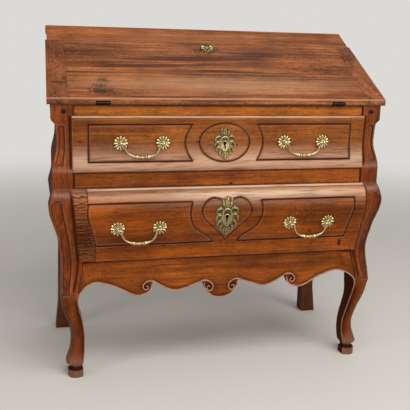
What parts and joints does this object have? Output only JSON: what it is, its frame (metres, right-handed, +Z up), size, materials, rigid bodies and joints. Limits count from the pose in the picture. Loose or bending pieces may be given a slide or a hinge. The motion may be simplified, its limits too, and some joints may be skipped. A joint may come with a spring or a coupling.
{
  "type": "slant-front desk",
  "caption": "Slant-front writing desk: bombe drawer case on cabriole legs, hinged fall front carried on pull-out lopers, brass drop handles and key plates.",
  "frame": {"origin": "on the floor, under the middle of the desk's own footprint", "axes": "+X to the sitter's right as seen from the front, +Y towards the back, +Z up; the drawers and the lid open towards -Y"},
  "size_m": [0.963, 0.489, 0.977],
  "materials": {
    "lid_walnut": "old waxed walnut, rubbed dull",
    "case_walnut": "old waxed walnut, satin",
    "post_walnut": "dark red-brown waxed walnut, satin",
    "drawer_walnut": "waxed walnut, satin with worn edges",
    "inner_oak": "bare planed oak",
    "gilt_brass": "cast gilt brass, rubbed, dark in the hollows",
    "forged_iron": "blackened wrought iron"
  },
  "bodies": {
    "case": {"front_left_post": "post_walnut", "front_right_post": "post_walnut", "rear_left_post": "post_walnut", "rear_right_post": "post_walnut", "left_side_panel": "case_walnut", "right_side_panel": "case_walnut", "back_panel": "inner_oak", "top_board": "lid_walnut", "top_rail": "lid_walnut", "frieze_rail": "case_walnut", "mid_rail": "case_walnut", "apron": "case_walnut", "writing_floor": "inner_oak", "dust_board": "inner_oak", "bottom_board": "inner_oak", "gallery_shelf": "inner_oak", "gallery_partition": "inner_oak", "case_left_hinge_leaf": "forged_iron", "case_right_hinge_leaf": "forged_iron"},
    "lid": {"lid_panel": "lid_walnut", "lid_left_cleat": "lid_walnut", "lid_right_cleat": "lid_walnut", "lid_left_hinge_leaf": "forged_iron", "lid_right_hinge_leaf": "forged_iron", "lid_lock": "forged_iron", "lid_escutcheon": "gilt_brass"},
    "left_loper_slide": {"left_loper": "case_walnut", "left_loper_knob": "forged_iron"},
    "right_loper_slide": {"right_loper": "case_walnut", "right_loper_knob": "forged_iron"},
    "upper_drawer": {"upper_drawer_front": "drawer_walnut", "upper_drawer_left_side": "inner_oak", "upper_drawer_right_side": "inner_oak", "upper_drawer_back": "inner_oak", "upper_drawer_bottom": "inner_oak", "upper_drawer_lock": "forged_iron", "upper_drawer_escutcheon": "gilt_brass", "upper_drawer_left_outer_rosette": "gilt_brass", "upper_drawer_left_inner_rosette": "gilt_brass", "upper_drawer_right_inner_rosette": "gilt_brass", "upper_drawer_right_outer_rosette": "gilt_brass"},
    "upper_left_bail": {"upper_drawer_left_bail": "gilt_brass"},
    "upper_right_bail": {"upper_drawer_right_bail": "gilt_brass"},
    "lower_drawer": {"lower_drawer_front": "drawer_walnut", "lower_drawer_left_side": "inner_oak", "lower_drawer_right_side": "inner_oak", "lower_drawer_back": "inner_oak", "lower_drawer_bottom": "inner_oak", "lower_drawer_lock": "forged_iron", "lower_drawer_escutcheon": "gilt_brass", "lower_drawer_left_outer_rosette": "gilt_brass", "lower_drawer_left_inner_rosette": "gilt_brass", "lower_drawer_right_inner_rosette": "gilt_brass", "lower_drawer_right_outer_rosette": "gilt_brass"},
    "lower_left_bail": {"lower_drawer_left_bail": "gilt_brass"},
    "lower_right_bail": {"lower_drawer_right_bail": "gilt_brass"},
    "left_small_drawer": {"left_small_drawer_front": "drawer_walnut", "left_small_drawer_tray": "inner_oak"},
    "right_small_drawer": {"right_small_drawer_front": "drawer_walnut", "right_small_drawer_tray": "inner_oak"}
  },
  "joints": [
    {"name": "lid_hinge", "type": "hinge", "parent": "case", "child": "lid", "pos_m": [0, -0.18788, 0.7708], "axis": [1, 0, 0], "range_deg": [0, 149.5]},
    {"name": "left_loper_pull", "type": "slide", "parent": "case", "child": "left_loper_slide", "axis": [0, -1, 0], "range_m": [0, 0.2]},
    {"name": "right_loper_pull", "type": "slide", "parent": "case", "child": "right_loper_slide", "axis": [0, -1, 0], "range_m": [0, 0.2]},
    {"name": "upper_drawer_pull", "type": "slide", "parent": "case", "child": "upper_drawer", "axis": [0, -1, 0], "range_m": [0, 0.3]},
    {"name": "upper_left_bail_swing", "type": "hinge", "parent": "upper_drawer", "child": "upper_left_bail", "pos_m": [-0.2314, -0.20134, 0.66343], "axis": [-1, 0, 0], "range_deg": [0, 100]},
    {"name": "upper_right_bail_swing", "type": "hinge", "parent": "upper_drawer", "child": "upper_right_bail", "pos_m": [0.2314, -0.20134, 0.66343], "axis": [-1, 0, 0], "range_deg": [0, 100]},
    {"name": "lower_drawer_pull", "type": "slide", "parent": "case", "child": "lower_drawer", "axis": [0, -1, 0], "range_m": [0, 0.3]},
    {"name": "lower_left_bail_swing", "type": "hinge", "parent": "lower_drawer", "child": "lower_left_bail", "pos_m": [-0.2452, -0.23903, 0.43474], "axis": [-1, 0, 0], "range_deg": [0, 100]},
    {"name": "lower_right_bail_swing", "type": "hinge", "parent": "lower_drawer", "child": "lower_right_bail", "pos_m": [0.2452, -0.23903, 0.43474], "axis": [-1, 0, 0], "range_deg": [0, 100]},
    {"name": "left_small_drawer_pull", "type": "slide", "parent": "case", "child": "left_small_drawer", "axis": [0, -1, 0], "range_m": [0, 0.085]},
    {"name": "right_small_drawer_pull", "type": "slide", "parent": "case", "child": "right_small_drawer", "axis": [0, -1, 0], "range_m": [0, 0.085]}
  ]
}
